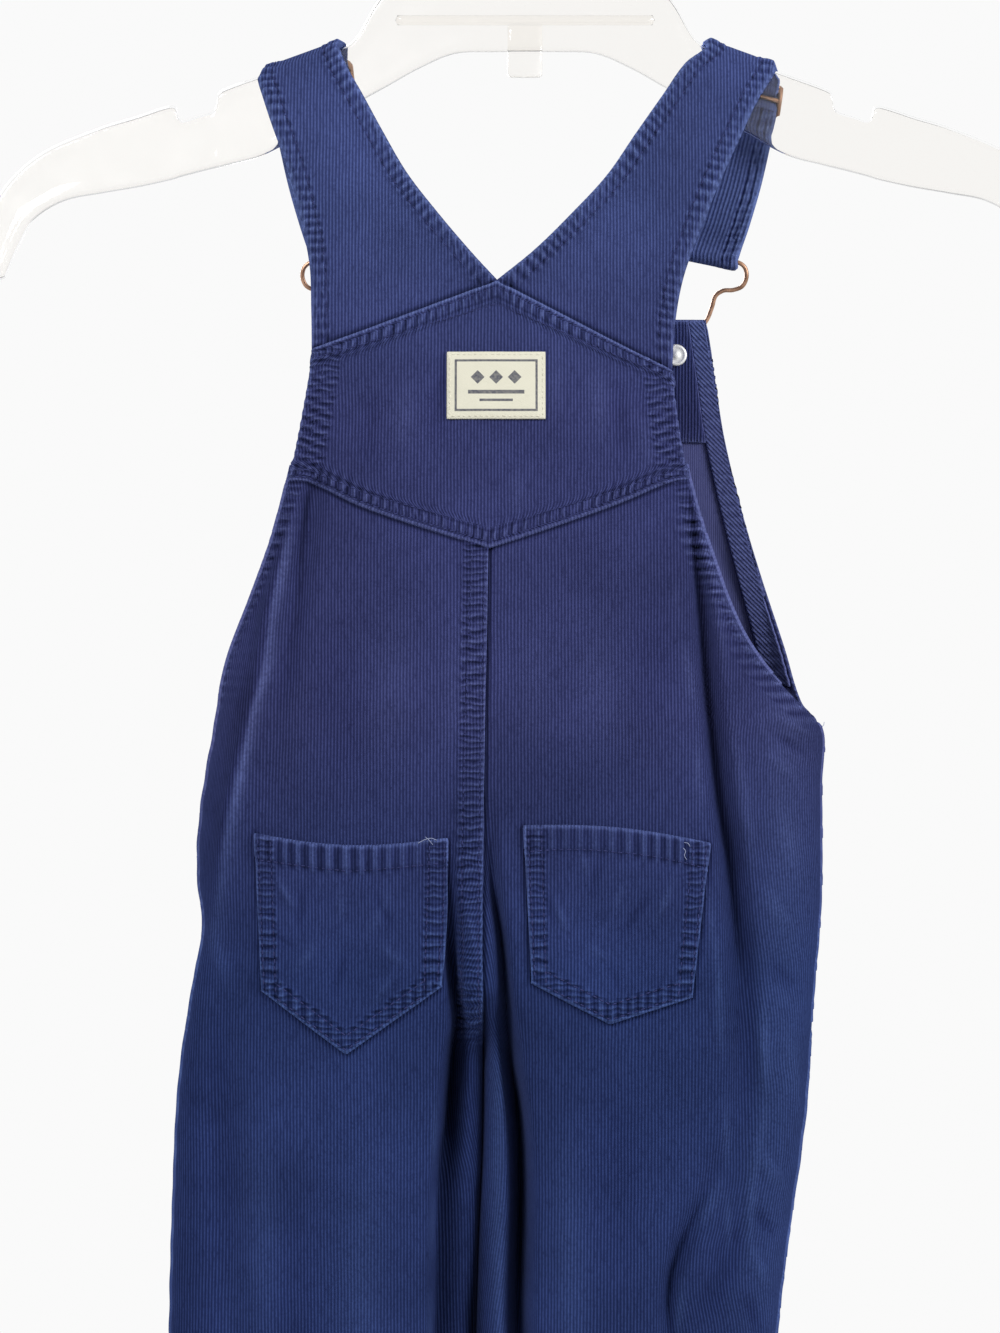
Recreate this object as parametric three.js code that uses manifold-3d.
// Children's bib overalls of fine-wale corduroy, hanging from a clear moulded clothes hanger.
// Millimetres, +Z up. The origin is the inner top of the hanger's hook, where a rail bears.
// +Y points out of the garment's front and +X to the wearer's right, so "left" is the wearer's.
import * as THREE from 'three';
import { mergeVertices } from 'three/addons/utils/BufferGeometryUtils.js';
import Module from 'manifold-3d';

// Driving sizes
const CLOTH = 1.5;            // one layer of corduroy with its turned edges
const STRAP_CLOTH = 2.4;      // a strap is two layers, turned and stitched
const FACING_CLOTH = 1.1;
const POCKET_CLOTH = 1.4;
const LABEL_CLOTH = 0.8;
const SEAM = 0.3;             // space between two pieces that are sewn together
const LIFT = 0.4;             // space under a piece that lies on a panel
const POCKET_LIFT = 0.65;
const CROTCH = -535;
const HEM = -886;             // leg hems
const FIRST_LEVEL = -420;     // first section row that back and front panels share
const BIB_TOP = -239;
const ROUNDNESS = 2.4;        // exponent of the body's superelliptic sections
const BACK_COLUMNS = 18;      // columns of a back half
const FRONT_COLUMNS = 12;     // columns of a front half
const WIRE = 0.9;             // radius of the buckle's and slide's wire
const BUCKLE_DROP = 41.8;     // from a buckle's bar down to the middle of its button
const RIDGE = 2.8;            // radius of the hanger's rounded edges
const WEB = 2.2;              // thickness of the hanger's web

const COLOURS = {
  cloth: { color: 0x2c3768, roughness: 0.92, metalness: 0 },
  yoke: { color: 0x313660, roughness: 0.92, metalness: 0 },
  facing: { color: 0x2b3161, roughness: 0.94, metalness: 0 },
  label: { color: 0xeeead8, roughness: 0.8, metalness: 0 },
  copper: { color: 0xa8643c, roughness: 0.35, metalness: 0.9 },
  nickel: { color: 0xc9ccd0, roughness: 0.3, metalness: 0.9 },
  clear: { color: 0xe6e4d8, roughness: 0.12, metalness: 0 },
};

// A table whose rows get named columns.
function rows(names, values) {
  return values.map((row) => Object.fromEntries(names.map((name, i) => [name, row[i]])));
}

// Side line of the back: the armhole's edge down to the side seam, then the side seam.
const LEFT_SIDE = rows(['z', 'x', 'y'], [
  [-228, -81, -19], [-256, -83.1, -20], [-284, -87.5, -22], [-308, -92.6, -21], [-331, -98.8, -18],
  [-354, -107.4, -14], [-378, -116.9, -9], [-402, -122.1, -6], [-438, -128.2, -5],
  [-462, -129.3, -6], [-485, -126.8, -9], [-500, -129.6, -11], [-544, -136.1, -11],
  [-592, -138.7, -10], [-645, -140.2, -8], [-760, -141, -4], [-886, -139, 0],
]);
const RIGHT_SIDE = rows(['z', 'x', 'y'], [
  [-228, 58, -18], [-256, 56.8, -20], [-284, 59.6, -22], [-308, 63.9, -22], [-337, 72.2, -22],
  [-365, 83.4, -19], [-380, 93.2, -15], [-391, 103.8, -9], [-405, 117.6, -1], [-426, 117.8, 0],
  [-474, 117.6, 0], [-510, 114.8, 0], [-558, 111.2, 0], [-606, 104.8, 0], [-647, 100, 0],
  [-760, 94, 0], [-886, 90, 0],
]);
// Side line of the bib, down to the same underarm points.
const LEFT_BIB_SIDE = rows(['z', 'x', 'y'], [
  [-236, -73.8, 24], [-263, -78.2, 26], [-287, -82, 27], [-320, -90.3, 27], [-345, -98, 23],
  [-365, -107.5, 15], [-378, -115, 2], [-388, -119.3, -7.5], [-402, -122.1, -6],
]);
const RIGHT_BIB_SIDE = rows(['z', 'x', 'y'], [
  [-236, 73.8, 24], [-263, 78.2, 26], [-287, 82.1, 28], [-320, 90.3, 28], [-345, 97.5, 26],
  [-373, 105.9, 20], [-395, 111.6, 10], [-405, 117.6, -1], [-420, 117.8, 0],
]);
// Centre line of the back and of the front, and the greatest depth of their sections.
const BACK_CENTRE = rows(['z', 'x', 'depth'], [
  [-228, -11.2, -21], [-285, -12.7, -26], [-334, -14.3, -30], [-374, -15, -33], [-413, -15.8, -35],
  [-470, -16.5, -36], [-510, -16.6, -35], [-560, -16.6, -31], [-650, -16.6, -27],
  [-760, -16.6, -24], [-886, -16.6, -22],
]);
const FRONT_CENTRE = rows(['z', 'x', 'depth'], [
  [-236, 0, 26.5], [-320, 0, 31], [-400, -1, 33], [-450, -4, 34], [-500, -12, 33],
  [-535, -16.6, 31], [-650, -16.6, 27], [-760, -16.6, 25], [-886, -16.6, 23],
]);
// Inner edges of the two legs, which part slowly below the crotch.
const LEG_GAP = rows(['z', 'left', 'right'], [
  [-500, -16.75, -16.45], [-535, -16.8, -16.4], [-574, -17.4, -17], [-600, -18.5, -18.1],
  [-617, -19.1, -18.7], [-660, -20.1, -19.6], [-760, -23.5, -15.5], [-886, -31, -11],
]);
// Seams of the back yoke, as heights at shares of the way from a side to the centre.
const UPPER_CHEVRON = rows(['share', 'left', 'right'], [[0, -256.2, -264.8], [1, -229.9, -229.9]]);
const LOWER_CHEVRON = rows(['share', 'left', 'right'], [
  [0, -307.6, -307.2], [0.1, -308.2, -308.4], [0.4, -318.6, -317.6], [1, -334.4, -334.4],
]);

// Folds of the back: a path down the cloth, its half-width, and how far it moves the cloth in.
const BACK_FOLDS = [
  // ridge down the left side and the trough inside it
  rows(['z', 'x', 'width', 'depth'], [
    [-300, -86, 5, 0], [-330, -92, 6, -3], [-367, -101, 7, -4], [-406, -110, 8, -4],
    [-464, -121, 8, -3], [-490, -126, 8, 0],
  ]),
  rows(['z', 'x', 'width', 'depth'], [
    [-298, -80, 4, 0], [-315, -83, 4.5, 4], [-344, -88, 5, 4.5], [-384, -95, 7, 3], [-440, -104, 9, 0],
  ]),
  // crease beside the centre seam that deepens into the left leg's inner recess
  rows(['z', 'x', 'width', 'depth'], [
    [-440, -25, 4, 0], [-470, -26, 4, 3], [-495, -27.4, 4, 9], [-536, -28.2, 3.8, 15],
    [-572, -29, 3.8, 15], [-645, -32.2, 4.2, 13], [-760, -36, 6, 9], [-886, -40, 8, 5],
  ]),
  // the right leg's inner recess
  rows(['z', 'x', 'width', 'depth'], [
    [-430, -11, 4, 0], [-460, -10.4, 4, 5], [-491, -8.8, 4.2, 11], [-533, -5.4, 4.4, 19],
    [-574, -1.4, 4.6, 20], [-614, -0.8, 4.8, 19], [-647, -1.4, 5, 17], [-760, 4, 7, 10],
    [-886, 10, 9, 5],
  ]),
  // long trough beside the right pocket, down the right leg
  rows(['z', 'x', 'width', 'depth'], [
    [-308, 55, 4, 0], [-330, 62, 5, 3], [-355, 67.5, 6, 5], [-417, 73.5, 6, 7], [-471, 81, 6.5, 9],
    [-530, 85, 7, 8], [-588, 84, 8, 5], [-640, 82, 9, 0],
  ]),
  // slanting fold of the right leg
  rows(['z', 'x', 'width', 'depth'], [
    [-560, 80, 5, 0], [-588, 68, 6, 4.5], [-615, 57.5, 6, 5.5], [-650, 57, 7, 4], [-720, 60, 8, 0],
  ]),
  // shallow bands down the left leg
  rows(['z', 'x', 'width', 'depth'], [
    [-500, -117, 6, 0], [-560, -118, 7, 3], [-620, -116, 7, 3], [-700, -112, 9, 0],
  ]),
];
// Folds of the front, like those of the back.
const FRONT_FOLDS = [
  rows(['z', 'x', 'width', 'depth'], [
    [-405, -62, 6, 0], [-450, -70, 7, -5], [-520, -84, 8, -7], [-600, -92, 9, -6], [-700, -90, 11, 0],
  ]),
  rows(['z', 'x', 'width', 'depth'], [
    [-410, 58, 6, 0], [-455, 66, 7, -5], [-530, 76, 8, -7], [-610, 74, 9, -5], [-690, 70, 11, 0],
  ]),
  rows(['z', 'x', 'width', 'depth'], [
    [-470, -26, 5, 0], [-510, -30, 5.5, -6], [-560, -34, 6, -10], [-680, -37, 7, -8], [-886, -44, 9, -4],
  ]),
  rows(['z', 'x', 'width', 'depth'], [
    [-470, 1, 5, 0], [-515, 0, 5.5, -6], [-570, 2, 6, -10], [-690, 6, 7, -8], [-886, 14, 9, -4],
  ]),
];

const { lerp, clamp, smoothstep } = THREE.MathUtils;

// Smooth curve through a column of a table, by cubic steps with averaged slopes.
function along(table, key, at, by = 'z') {
  const ordered = table[0][by] > table[1][by];
  let k = 0;
  const past = (row) => (ordered ? at < row[by] : at > row[by]);
  while (k < table.length - 2 && past(table[k + 1])) k += 1;
  const slope = (i) => {
    const a = table[Math.max(i - 1, 0)];
    const b = table[Math.min(i + 1, table.length - 1)];
    return (b[key] - a[key]) / (b[by] - a[by]);
  };
  const [p, q] = [table[k], table[k + 1]];
  const span = q[by] - p[by];
  const t = clamp((at - p[by]) / span, 0, 1);
  const [t2, t3] = [t * t, t * t * t];
  return (2 * t3 - 3 * t2 + 1) * p[key] + (t3 - 2 * t2 + t) * span * slope(k)
    + (3 * t2 - 2 * t3) * q[key] + (t3 - t2) * span * slope(k + 1);
}

// Sum of the folds at a point: each is a bell across its path.
function foldAt(folds, x, z) {
  let sum = 0;
  for (const fold of folds) {
    if (z > fold[0].z || z < fold.at(-1).z) continue;
    const across = (x - along(fold, 'x', z)) / along(fold, 'width', z);
    sum += along(fold, 'depth', z) * Math.exp(-across * across);
  }
  return sum;
}

// Share of a leg in a section: 0 in the torso, 1 below the crotch.
const legShare = (z) => smoothstep(-z, -CROTCH - 33, -CROTCH);

// Depth of a section across a half: a quarter round in the torso, a half round in a leg.
function roundness(share, z) {
  const torso = Math.max(0, 1 - (1 - share) ** ROUNDNESS) ** (1 / ROUNDNESS);
  const leg = Math.max(0, 1 - Math.abs(2 * share - 1) ** ROUNDNESS) ** (1 / ROUNDNESS);
  return lerp(torso, leg, legShare(z));
}

// One half of the body's back or front. "share" runs from the side line to the centre line or
// the inseam; the folds move the cloth in or out.
function half(face, hand) {
  const back = face === 'back';
  const side = back ? (hand === 'left' ? LEFT_SIDE : RIGHT_SIDE) : null;
  const lower = hand === 'left' ? LEFT_SIDE : RIGHT_SIDE;
  const bibSide = hand === 'left' ? LEFT_BIB_SIDE : RIGHT_BIB_SIDE;
  const centre = back ? BACK_CENTRE : FRONT_CENTRE;
  const folds = back ? BACK_FOLDS : FRONT_FOLDS;
  const sideOf = (z) => side ?? (z > bibSide.at(-2).z ? bibSide : lower);
  const sign = back ? -1 : 1;
  const out = hand === 'left' ? -1 : 1;
  const edge = (z) => new THREE.Vector3(along(sideOf(z), 'x', z), along(sideOf(z), 'y', z), z);
  const middle = (z) => {
    const seam = along(centre, 'x', z) + out * SEAM / 2;
    return z > CROTCH ? seam : along(LEG_GAP, hand, z);
  };
  const at = (share, z) => {
    const start = edge(z);
    const x = lerp(start.x, middle(z), share);
    const base = start.y * (1 - share);
    const depth = along(centre, 'depth', z);
    const fade = smoothstep(share, 0, 0.08) * (1 - legShare(z) * smoothstep(share, 0.97, 1));
    const y = base + (depth - base) * roundness(share, z) + foldAt(folds, x, z) * fade;
    return new THREE.Vector3(x, y + sign * SEAM / 2, z);
  };
  // Direction of the section at its two ends, so that walls meet squarely at the seams.
  const tangentAt = (share, z) => {
    if (share === 0) return new THREE.Vector3(0, sign, 0);
    const turn = legShare(z) * Math.PI / 2;
    return new THREE.Vector3(-out * Math.cos(turn), -sign * Math.sin(turn), 0);
  };
  return { at, tangentAt, out, sign };
}

// Point on the back's or front's outside at x, z, moved out by "lift".
function onBody(face, hand, x, z, lift) {
  const piece = half(face, hand);
  const [a, b] = [piece.at(0, z), piece.at(1, z)];
  const share = clamp((x - a.x) / (b.x - a.x), 0, 1);
  const here = piece.at(share, z);
  const step = 0.6;
  const dx = piece.at(clamp((x + step - a.x) / (b.x - a.x), 0, 1), z).sub(
    piece.at(clamp((x - step - a.x) / (b.x - a.x), 0, 1), z));
  const dz = piece.at(share, z + step).sub(piece.at(share, z - step));
  const normal = dx.cross(dz).normalize();
  if (normal.y * piece.sign < 0) normal.negate();
  return here.addScaledVector(normal, lift);
}

// Columns spaced closely at both ends of a section.
const spread = (i, count) => (1 - Math.cos(Math.PI * i / count)) / 2;

// A closed wall from a grid of points: the grid, the same grid moved by the wall's thickness
// against the normals, and a rim around both.
function wall(grid, thickness, normals) {
  const [m, n] = [grid.length, grid[0].length];
  const moved = (p, normal) => p.clone().addScaledVector(normal, -thickness);
  const inner = grid.map((row, i) => row.map((p, j) => moved(p, normals[i][j])));
  const points = [...grid.flat(), ...inner.flat()];
  const id = (i, j, side) => side * m * n + i * n + j;
  const index = [];
  const quad = (a, b, c, d) => index.push(a, b, c, a, c, d);
  for (let i = 0; i < m - 1; i += 1) {
    for (let j = 0; j < n - 1; j += 1) {
      quad(id(i, j, 0), id(i + 1, j, 0), id(i + 1, j + 1, 0), id(i, j + 1, 0));
      quad(id(i, j, 1), id(i, j + 1, 1), id(i + 1, j + 1, 1), id(i + 1, j, 1));
    }
  }
  for (let i = 0; i < m - 1; i += 1) {
    quad(id(i, 0, 0), id(i, 0, 1), id(i + 1, 0, 1), id(i + 1, 0, 0));
    quad(id(i, n - 1, 0), id(i + 1, n - 1, 0), id(i + 1, n - 1, 1), id(i, n - 1, 1));
  }
  for (let j = 0; j < n - 1; j += 1) {
    quad(id(0, j, 0), id(0, j + 1, 0), id(0, j + 1, 1), id(0, j, 1));
    quad(id(m - 1, j, 0), id(m - 1, j, 1), id(m - 1, j + 1, 1), id(m - 1, j + 1, 0));
  }
  const geometry = new THREE.BufferGeometry().setFromPoints(points);
  geometry.setIndex(index);
  if (volume(geometry) < 0) {
    for (let k = 0; k < index.length; k += 3) [index[k], index[k + 1]] = [index[k + 1], index[k]];
    geometry.setIndex(index);
  }
  return geometry;
}

// Signed volume of a closed mesh, negative when its faces point in.
function volume(geometry) {
  const position = geometry.attributes.position;
  const index = geometry.index.array;
  const [a, b, c] = [new THREE.Vector3(), new THREE.Vector3(), new THREE.Vector3()];
  let sum = 0;
  for (let k = 0; k < index.length; k += 3) {
    a.fromBufferAttribute(position, index[k]);
    b.fromBufferAttribute(position, index[k + 1]);
    c.fromBufferAttribute(position, index[k + 2]);
    sum += a.dot(b.cross(c)) / 6;
  }
  return sum;
}

// Normals of a grid of points, all turned to the side that "outward" gives.
function gridNormals(grid, outward, tangent) {
  const [m, n] = [grid.length, grid[0].length];
  const between = (p, q) => q.clone().sub(p);
  return grid.map((row, i) => row.map((p, j) => {
    const across = tangent?.(i, j) ?? between(row[Math.max(j - 1, 0)], row[Math.min(j + 1, n - 1)]);
    const down = between(grid[Math.max(i - 1, 0)][j], grid[Math.min(i + 1, m - 1)][j]);
    const normal = across.cross(down).normalize();
    if (normal.dot(outward(i, j)) < 0) normal.negate();
    return normal;
  }));
}

// Section rows of the panels below the waist, closer where the body changes most.
function levels() {
  const list = [];
  for (let z = FIRST_LEVEL; z > HEM + 1; z -= z > -560 ? 12 : z > -650 ? 18 : 29.5) list.push(z);
  return [...list, HEM];
}

// Height of the waist seam between bib and front panels, from the left underarm to the right.
const WAIST = { left: -388, right: -405 };
const waistAt = (hand, share) => lerp(WAIST[hand], (WAIST.left + WAIST.right) / 2, share);

// A back or front panel with its leg: rows from its top edge to the first level, then the levels.
function panel(face, hand, columns, topRows) {
  const piece = half(face, hand);
  const below = levels();
  const top = (share) => (face === 'back'
    ? along(LOWER_CHEVRON, hand, share, 'share') - SEAM / 2
    : waistAt(hand, share) - SEAM / 2);
  const height = (i, share) => (i < topRows
    ? lerp(top(share), FIRST_LEVEL, i / topRows)
    : below[i - topRows]);
  const grid = [];
  const shares = Array.from({ length: columns + 1 }, (_, j) => spread(j, columns));
  for (let i = 0; i < topRows + below.length; i += 1) {
    grid.push(shares.map((share) => piece.at(share, height(i, share))));
  }
  const outward = (i, j) => {
    const tilt = smoothstep(shares[j], 0, 0.3);
    const legTilt = legShare(grid[i][j].z) * smoothstep(shares[j], 0.7, 1);
    const sideways = piece.out * (1 - tilt - 2 * legTilt);
    return new THREE.Vector3(sideways, piece.sign * (0.05 + tilt) * (1 - legTilt), 0);
  };
  const tangent = (i, j) => (j === 0 || j === columns
    ? piece.tangentAt(shares[j], grid[i][j].z) : null);
  return wall(grid, CLOTH, gridNormals(grid, outward, tangent));
}

// The yoke spans both halves between the two chevron seams, with the panels' columns.
function yoke(count) {
  const grid = [];
  for (let i = 0; i <= count; i += 1) {
    const row = [];
    for (let j = 0; j <= 2 * BACK_COLUMNS; j += 1) {
      const hand = j < BACK_COLUMNS ? 'left' : 'right';
      const share = spread(j < BACK_COLUMNS ? j : 2 * BACK_COLUMNS - j, BACK_COLUMNS);
      const high = along(UPPER_CHEVRON, hand, share, 'share') - SEAM / 2;
      const low = along(LOWER_CHEVRON, hand, share, 'share') + SEAM / 2;
      row.push(half('back', hand).at(share, lerp(high, low, i / count)));
    }
    grid.push(row);
  }
  return wall(grid, CLOTH, gridNormals(grid, () => new THREE.Vector3(0, -1, 0)));
}

// The bib, from its top edge to the waist seam, across both halves.
const BIB_COLUMNS = 10;       // columns of each half
const BIB_ROWS = 10;
function bibGrid() {
  const grid = [];
  for (let i = 0; i <= BIB_ROWS; i += 1) {
    const row = [];
    for (let j = 0; j <= 2 * BIB_COLUMNS; j += 1) {
      const hand = j < BIB_COLUMNS ? 'left' : 'right';
      const share = spread(j < BIB_COLUMNS ? j : 2 * BIB_COLUMNS - j, BIB_COLUMNS);
      const low = waistAt(hand, share) + SEAM / 2;
      row.push(half('front', hand).at(share, lerp(BIB_TOP, low, i / BIB_ROWS)));
    }
    grid.push(row);
  }
  return grid;
}

// Cloth that lies on the inside of the bib, on some of its rows and columns. "inset" draws its
// first and last column in from the next piece.
function lining(grid, normals, lastRow, firstColumn, lastColumn, inset) {
  const cut = (line) => line.slice(firstColumn, lastColumn + 1);
  const directions = normals.slice(0, lastRow + 1).map(cut);
  const points = grid.slice(0, lastRow + 1).map(cut).map((line, i) => line.map((p, j) => {
    const moved = p.clone().addScaledVector(directions[i][j], -CLOTH - LIFT);
    if (j === 0) moved.x += inset;
    if (j === line.length - 1) moved.x -= inset;
    return moved;
  }));
  return wall(points, FACING_CLOTH, directions);
}

// A piece sewn onto the back: "outline" gives x, z at shares across and down.
function patch(outline, columns, count, cloth, lift) {
  const grid = [];
  const under = [];
  for (let i = 0; i <= count; i += 1) {
    const places = Array.from({ length: columns + 1 }, (_, j) => outline(spread(j, columns), i / count));
    const hand = (x, z) => (x < along(BACK_CENTRE, 'x', z) ? 'left' : 'right');
    grid.push(places.map(([x, z]) => onBody('back', hand(x, z), x, z, lift + cloth)));
    under.push(places.map(([x, z]) => onBody('back', hand(x, z), x, z, lift)));
  }
  const normals = grid.map((line, i) => line.map((p, j) => p.clone().sub(under[i][j]).normalize()));
  return wall(grid, cloth, normals);
}

// Back pockets: top corners, lower corners and the tip, as x, z.
const POCKETS = {
  left: { topOuter: [-105.1, -445.8], topInner: [-30.4, -447], lowOuter: [-102.3, -506.4],
    lowInner: [-32.8, -503.8], tip: [-69.5, -530.1], topDip: -3.6 },
  right: { topOuter: [-0.8, -442.2], topInner: [71.1, -449.3], lowOuter: [2.2, -502.4],
    lowInner: [64.3, -508.6], tip: [32.4, -518.4], topDip: 2.6 },
};
function pocket({ topOuter, topInner, lowOuter, lowInner, tip, topDip }) {
  const mix = (a, b, t) => [lerp(a[0], b[0], t), lerp(a[1], b[1], t)];
  return (across, down) => {
    const top = mix(topOuter, topInner, across);
    top[1] += topDip * Math.sin(Math.PI * across);
    const low = across < 0.5 ? mix(lowOuter, tip, 2 * across) : mix(tip, lowInner, 2 * across - 1);
    return mix(top, low, down);
  };
}

// Middle line of the hanger's rounded upper edge where the straps lie on it: it slopes down
// outwards, so upright distances across it are longer by LEAN.
const SLOPE = 0.363;
const LEAN = Math.hypot(1, SLOPE);
const ridgeMiddle = (x) => -136.6 - SLOPE * (Math.abs(x) - 76);

// Straps: edges of the part on the back, from the yoke up to the hanger.
const STRAP_COLUMNS = ['outerX', 'outerZ', 'outerY', 'innerX', 'innerZ', 'innerY'];
const STRAP_BACK = {
  left: rows(STRAP_COLUMNS, [
    [-83.1, -256.05, -20.2, -11.5, -229.75, -21.2], [-83.4, -240, -19.2, -22.5, -217.5, -19.6],
    [-84.2, -222, -17.8, -35, -202.5, -17.6], [-88.5, -201, -15.8, -47.5, -186, -15.4],
    [-94, -181, -13.6, -57.5, -168.5, -13], [-99.6, -165.5, -11.4, -65.5, -153.5, -10.8],
    [-103.6, -153.5, -8.6, -71.5, -142.6, -8.4],
  ]),
  right: rows(STRAP_COLUMNS, [
    [56.8, -264.65, -20.2, -10.9, -229.75, -21.2], [58, -246, -19.4, 4.5, -217, -19.6],
    [61.5, -227, -18, 19, -202.5, -17.6], [68.5, -207.5, -16, 33, -187, -15.4],
    [76, -189, -14, 44.5, -170, -13], [84, -171.5, -11.6, 55, -154.8, -11],
    [91.5, -155.5, -8.6, 64.5, -141, -8.4],
  ]),
};
// Over the hanger the strap bends round the ridge; its edges there, behind and in front.
const STRAP_OVER = {
  left: { outer: [-106, -102], inner: [-74.8, -72.2] },
  right: { outer: [99, 102], inner: [73, 72.4] },
};
// Down the front to the buckle, for the right strap; the left one mirrors it. The strap weaves
// behind the slide's outer bars and over its middle bar.
const STRAP_FRONT = rows(STRAP_COLUMNS, [
  [101.6, -147.4, 8.8, 72.1, -138, 8.8], [101.1, -152.2, 12.4, 71.5, -143, 12.4],
  [100.6, -157, 9.2, 70.8, -148, 9.2], [98, -171, 12.2, 68, -162.7, 12.2],
  [94.5, -187, 15.4, 64.1, -179.3, 15.4], [90, -203, 19.2, 59.4, -196, 19.2],
  [87.2, -211.5, 22.6, 56.3, -205, 22.6],
]);
const STRAP_RETURN = rows(STRAP_COLUMNS, [
  [87.2, -211.5, 16.6, 56.3, -205, 16.6], [90, -203, 13.4, 59.4, -196, 13.4],
  [94.5, -187, 9.8, 64.1, -179.3, 9.8], [98, -171, 6.6, 68, -162.7, 6.6],
  [100.4, -158.5, 3.9, 70.6, -149.6, 3.9],
]);
// The buckle's bar, which the strap's end turns round: its two ends on the right strap.
const BAR = { outer: [85.9, 20, -215.6], inner: [54.9, 20, -209.2] };

// Rows of a strap: each has the strap's outer and inner edge.
function strapEdges(hand) {
  const mirror = hand === 'left' ? -1 : 1;
  const edge = (row, flip) => [
    new THREE.Vector3(flip * row.outerX, row.outerY, row.outerZ),
    new THREE.Vector3(flip * row.innerX, row.innerY, row.innerZ),
  ];
  const list = STRAP_BACK[hand].map((row) => edge(row, 1));
  const bend = RIDGE + SEAM + STRAP_CLOTH;
  const { outer, inner } = STRAP_OVER[hand];
  for (let k = 0; k <= 6; k += 1) {
    const angle = lerp(-1.25, 1.25, k / 6);
    list.push([outer, inner].map(([behind, ahead]) => {
      const x = lerp(behind, ahead, k / 6);
      return new THREE.Vector3(x, bend * Math.sin(angle), ridgeMiddle(x) + LEAN * bend * Math.cos(angle));
    }));
  }
  STRAP_FRONT.forEach((row) => list.push(edge(row, mirror)));
  const turn = WIRE + SEAM + STRAP_CLOTH;
  for (let k = 0; k <= 6; k += 1) {
    const angle = Math.PI * k / 6;
    list.push([BAR.outer, BAR.inner].map(([x, y, z]) => new THREE.Vector3(
      mirror * x, y + turn * Math.cos(angle), z - turn * Math.sin(angle))));
  }
  STRAP_RETURN.forEach((row) => list.push(edge(row, mirror)));
  return list;
}
function strap(hand, columns) {
  const shares = Array.from({ length: columns + 1 }, (_, j) => j / columns);
  const grid = strapEdges(hand).map(([a, b]) => shares.map((share) => a.clone().lerp(b, share)));
  // the outside faces back on the first row and stays the outside all along
  const normals = gridNormals(grid, () => new THREE.Vector3());
  let last = new THREE.Vector3(0, -1, 0);
  normals.forEach((line) => {
    if (line[1].dot(last) < 0) line.forEach((n) => n.negate());
    last = line[1];
  });
  return wall(grid, STRAP_CLOTH, normals);
}

// Two directions of a buckle's face: along its bar and down to its button.
function buckleFrame(hand) {
  const mirror = hand === 'left' ? -1 : 1;
  const [a, b] = [BAR.inner, BAR.outer].map(([x, y, z]) => new THREE.Vector3(mirror * x, y, z));
  const bar = b.clone().sub(a).normalize();
  const down = new THREE.Vector3(mirror * bar.z, 0, -mirror * bar.x).normalize();
  if (down.z > 0) down.negate();
  return { middle: a.add(b).multiplyScalar(0.5), bar, down };
}

// Right half of the buckle's wire, as offsets along the bar and down, from its bar to its foot.
const BUCKLE_WIRE = rows(['along', 'down'], [
  [0.25, 0], [9, 0], [17.6, 0], [20.4, 1.6], [21.7, 5], [20.8, 8.8], [17.4, 11], [13.6, 12],
  [11, 14.6], [10.6, 19], [9.8, 24], [7.6, 29], [5.6, 34], [4.5, 39], [4, 42.6], [2.4, 44.4],
  [0, 45],
]);
const WIRE_RISE = rows(['down', 'y'], [[0, 0], [8, 1.2], [16, 3.8], [24, 6.1], [30, 6.8], [46, 7.3]]);

// A circle as a many-sided outline.
function round(radius, sides) {
  const points = Array.from({ length: sides }, (_, i) => new THREE.Vector2(
    radius * Math.cos(2 * Math.PI * i / sides), radius * Math.sin(2 * Math.PI * i / sides)));
  return new THREE.Shape(points);
}
function rod(points, radius, sides, steps) {
  const path = new THREE.CatmullRomCurve3(points, false, 'centripetal');
  return new THREE.ExtrudeGeometry(round(radius, sides), { extrudePath: path, steps, bevelEnabled: false });
}

function buckle(hand) {
  const { middle, bar, down } = buckleFrame(hand);
  const place = (side) => (row) => middle.clone().addScaledVector(bar, side * row.along)
    .addScaledVector(down, row.down).add(new THREE.Vector3(0, along(WIRE_RISE, 'y', row.down, 'down'), 0));
  const points = [...BUCKLE_WIRE.map(place(1)), ...BUCKLE_WIRE.slice(0, -1).reverse().map(place(-1))];
  return rod(points, WIRE, 6, 46);
}

// The bib button's place: where the buckle's foot holds it.
function buttonAt(hand, lift) {
  const { middle, down } = buckleFrame(hand);
  const foot = middle.addScaledVector(down, BUCKLE_DROP);
  return onBody('front', hand, foot.x, foot.z, lift);
}
// Button: a shank through the wire's foot and a wide cap over it. Its back is a flat tack head.
// Each is a profile of radius and height.
const SHANK = 1.6;
const CAP = { radius: 7.2, over: 2.7, edge: 0.9, dome: 2.6 };
const BUTTON = [
  [0, 0], [SHANK, 0], [SHANK, CAP.over], [CAP.radius - 0.6, CAP.over], [CAP.radius, CAP.over + CAP.edge],
  [CAP.radius - 0.8, CAP.over + 2.1], [0, CAP.over + CAP.dome],
];
const TACK = { radius: 4.4, thick: 1.3 };
const BUTTON_BACK = [
  [0, -TACK.thick], [TACK.radius - 0.8, -TACK.thick], [TACK.radius, -TACK.thick / 2], [TACK.radius, 0],
  [0, 0],
];
// A turned piece standing on the bib at a button, its axis along Y.
function turned(hand, profile, lift, sides) {
  const geometry = new THREE.LatheGeometry(profile.map(([r, h]) => new THREE.Vector2(r, h)), sides);
  const at = buttonAt(hand, lift);
  return geometry.translate(at.x, at.y, at.z);
}

const wasm = await Module();
wasm.setup();
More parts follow.
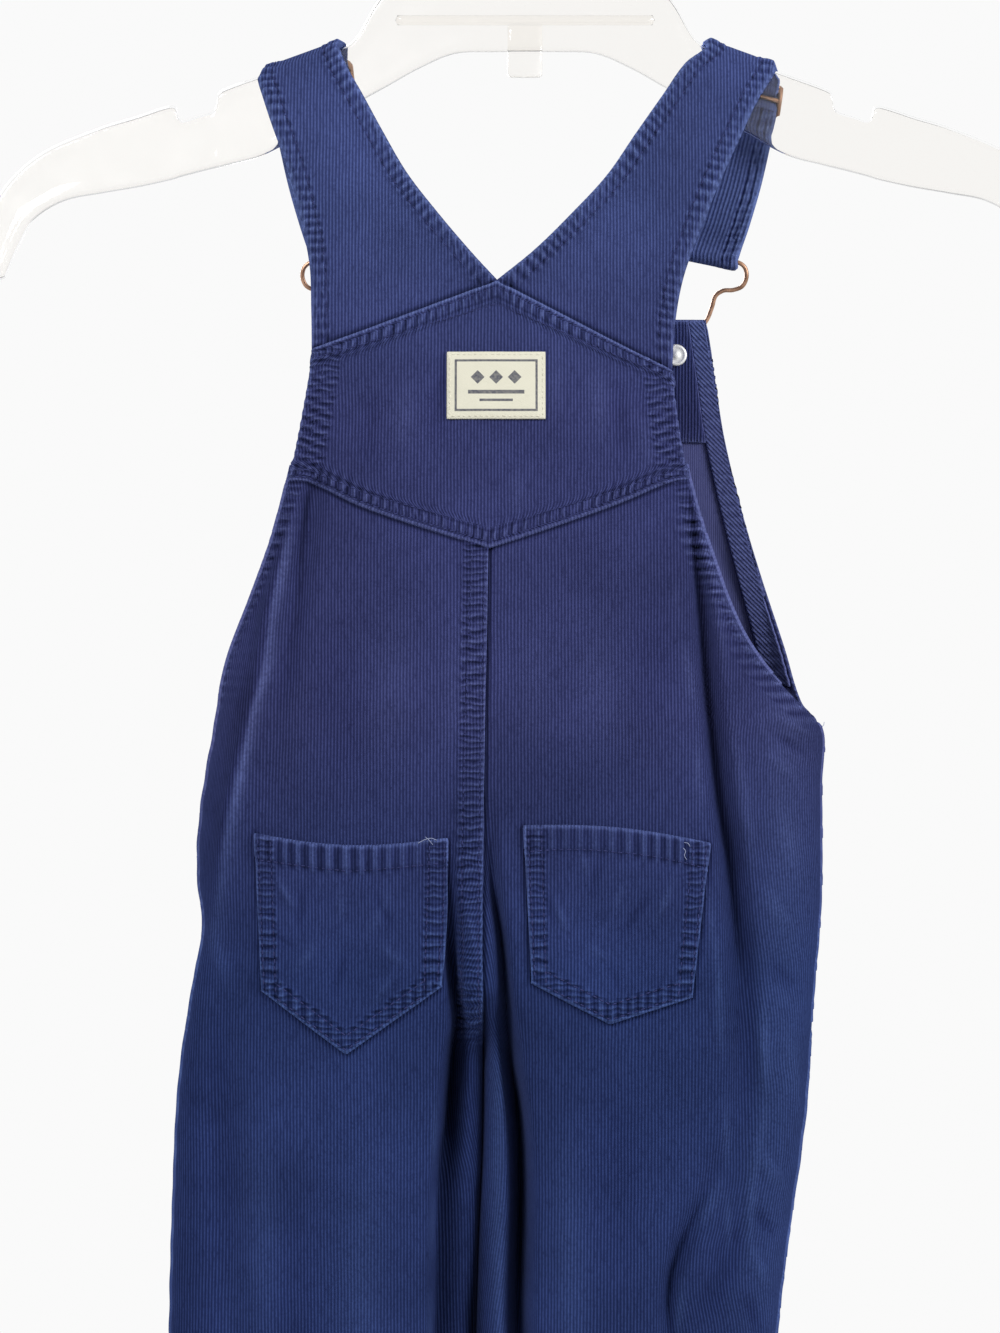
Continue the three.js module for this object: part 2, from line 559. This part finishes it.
// A closed mesh as a solid that can be joined.
function solid(geometry) {
  const plain = geometry.clone();
  plain.deleteAttribute('normal');
  plain.deleteAttribute('uv');
  const merged = mergeVertices(plain, 1e-4);
  return new wasm.Manifold(new wasm.Mesh({
    numProp: 3,
    vertProperties: merged.attributes.position.array,
    triVerts: merged.index.array,
  }));
}
function joined(geometries) {
  const mesh = geometries.map(solid).reduce((sum, next) => sum.add(next)).getMesh();
  const geometry = new THREE.BufferGeometry();
  geometry.setAttribute('position', new THREE.BufferAttribute(mesh.vertProperties, 3));
  geometry.setIndex(new THREE.BufferAttribute(mesh.triVerts, 1));
  return geometry;
}

// Slide: three bars between two end plates, the strap woven through.
const SLIDE_BARS = rows(['row', 'y'], [[0, 10.5], [1, 8.3], [2, 10.9]]);
const SLIDE_OVERHANG = 1.7;
function slide(hand) {
  const mirror = hand === 'left' ? -1 : 1;
  const ends = SLIDE_BARS.map(({ row, y }) => {
    const { outerX, outerZ, innerX, innerZ } = STRAP_FRONT[row];
    const a = new THREE.Vector3(mirror * outerX, y, outerZ);
    const b = new THREE.Vector3(mirror * innerX, y, innerZ);
    const reach = a.clone().sub(b).setLength(SLIDE_OVERHANG);
    return [a.add(reach), b.sub(reach)];
  });
  const bars = ends.map(([a, b]) => rod([a, b], WIRE, 6, 1));
  const plates = [0, 1].map((k) => rod(ends.map((pair) => pair[k]), WIRE * 1.15, 6, 4));
  return joined([...bars, ...plates]);
}

// Hanger: half of the web's outline, mirrored, and the rounded edges that stiffen it.
const WEB_HALF = [
  [0, -80], [9, -80], [11, -90], [30, -97], [50, -105.5], [57, -115], [64, -129], [68, -134], [76, -136],
  [105, -145.1], [123, -151.7], [123, -158.5], [139, -163], [139, -156], [170, -165.4],
  [193, -175], [208.5, -189], [216, -206], [214.5, -226], [207, -224], [203.5, -209],
  [197, -198], [185, -191.5], [154, -186], [105, -174], [65.6, -151.5], [47, -141.5],
  [34, -134.5], [27, -132.5], [0, -132.5],
];
const RIDGE_PATH = [[0, -84], [12, -91.5], [30, -99.8], [50, -108.3], [57.5, -117.5], [63.5, -128.4],
  ...[67.5, 71, 76, 90, 105, 121.5].map((x) => [x, ridgeMiddle(x)])];
const TIP_PATH = [[140.5, -159], [170, -168], [192, -177.6], [206, -190.6], [213, -206], [211.5, -225]];
const RAIL_PATH = [[0, -132.5], [27, -133], [40, -138.4], [65, -151.6], [105, -174], [154, -186.5],
  [184, -192], [198, -200], [204.5, -211], [207.5, -222]];
const RAIL = RIDGE * 0.9;
const CROSSBAR = { radius: 2, reach: 52, z: -122 };
const TAB = { width: 14, depth: 4.4, height: 21, z: -134.2 };
const HOOK = { radius: 2.9, inner: 18 };
const HOOK_STEM = [[0, -82], [0, -66], [3, -54], [10, -42.5]];
function hanger() {
  const mirrorX = (points) => points.map(([x, z]) => [-x, z]);
  const outline = [...WEB_HALF, ...mirrorX(WEB_HALF.slice(1, -1)).reverse()];
  const web = new THREE.ExtrudeGeometry(
    new THREE.Shape(outline.map(([x, z]) => new THREE.Vector2(x, z))), { depth: WEB, bevelEnabled: false });
  web.rotateX(Math.PI / 2).translate(0, WEB / 2, 0);
  const inPlane = ([x, z]) => new THREE.Vector3(x, 0, z);
  const both = (path) => [...mirrorX(path.slice(1)).reverse(), ...path].map(inPlane);
  const beads = [
    rod(both(RIDGE_PATH), RIDGE, 6, 30),
    rod(TIP_PATH.map(inPlane), RIDGE, 6, 7),
    rod(mirrorX(TIP_PATH).map(inPlane), RIDGE, 6, 7),
    rod(both(RAIL_PATH), RAIL, 6, 26),
    rod([-1, 1].map((side) => inPlane([side * CROSSBAR.reach, CROSSBAR.z])), CROSSBAR.radius, 6, 1),
  ];
  const tab = new THREE.BoxGeometry(TAB.width, TAB.depth, TAB.height).translate(0, 0, TAB.z);
  const ring = HOOK.inner + HOOK.radius;
  const hookPoints = HOOK_STEM.map(inPlane);
  for (let angle = -38; angle <= 205; angle += 18) {
    const turn = THREE.MathUtils.degToRad(angle);
    hookPoints.push(inPlane([ring * Math.cos(turn), -HOOK.inner + ring * Math.sin(turn)]));
  }
  return joined([web, ...beads, tab, rod(hookPoints, HOOK.radius, 8, 30)]);
}

const group = new THREE.Group();
function add(name, geometry, colour) {
  const mesh = new THREE.Mesh(geometry, new THREE.MeshStandardMaterial(COLOURS[colour]));
  mesh.name = name;
  group.add(mesh);
}

add('hanger', hanger(), 'clear');
add('back_yoke', yoke(4), 'yoke');
const LABEL = { x: -11.5, z: -271, width: 38, height: 26 };
const labelOutline = (across, down) => [LABEL.x + LABEL.width * (across - 0.5),
  LABEL.z - LABEL.height * (down - 0.5)];
add('woven_label', patch(labelOutline, 6, 3, LABEL_CLOTH, LIFT), 'label');

const outsideBib = bibGrid();
const bibNormals = gridNormals(outsideBib, () => new THREE.Vector3(0, 1, 0));
const EDGE_COLUMNS = 2;       // columns of the bib under its armhole facings
const FACING_ROWS = 3;        // rows of the bib under its top facing
const EDGE_ROWS = 9;
add('bib', wall(outsideBib, CLOTH, bibNormals), 'cloth');
add('bib_facing', lining(outsideBib, bibNormals, FACING_ROWS, EDGE_COLUMNS,
  2 * BIB_COLUMNS - EDGE_COLUMNS, SEAM), 'facing');
add('armhole_facing_left', lining(outsideBib, bibNormals, EDGE_ROWS, 0, EDGE_COLUMNS, 0), 'facing');
add('armhole_facing_right', lining(outsideBib, bibNormals, EDGE_ROWS, 2 * BIB_COLUMNS - EDGE_COLUMNS,
  2 * BIB_COLUMNS, 0), 'facing');

const inside = -CLOTH - LIFT - FACING_CLOTH - SEAM;
for (const hand of ['left', 'right']) {
  add(`back_panel_${hand}`, panel('back', hand, BACK_COLUMNS, 8), 'cloth');
  add(`front_panel_${hand}`, panel('front', hand, FRONT_COLUMNS, 2), 'cloth');
  add(`back_pocket_${hand}`, patch(pocket(POCKETS[hand]), 8, 6, POCKET_CLOTH, POCKET_LIFT), 'cloth');
  add(`strap_${hand}`, strap(hand, 3), 'cloth');
  add(`buckle_${hand}`, buckle(hand), 'copper');
  add(`slide_${hand}`, slide(hand), 'copper');
  add(`button_${hand}`, turned(hand, BUTTON, SEAM, 16), 'copper');
  add(`button_back_${hand}`, turned(hand, BUTTON_BACK, inside, 16), 'nickel');
}

export default group;
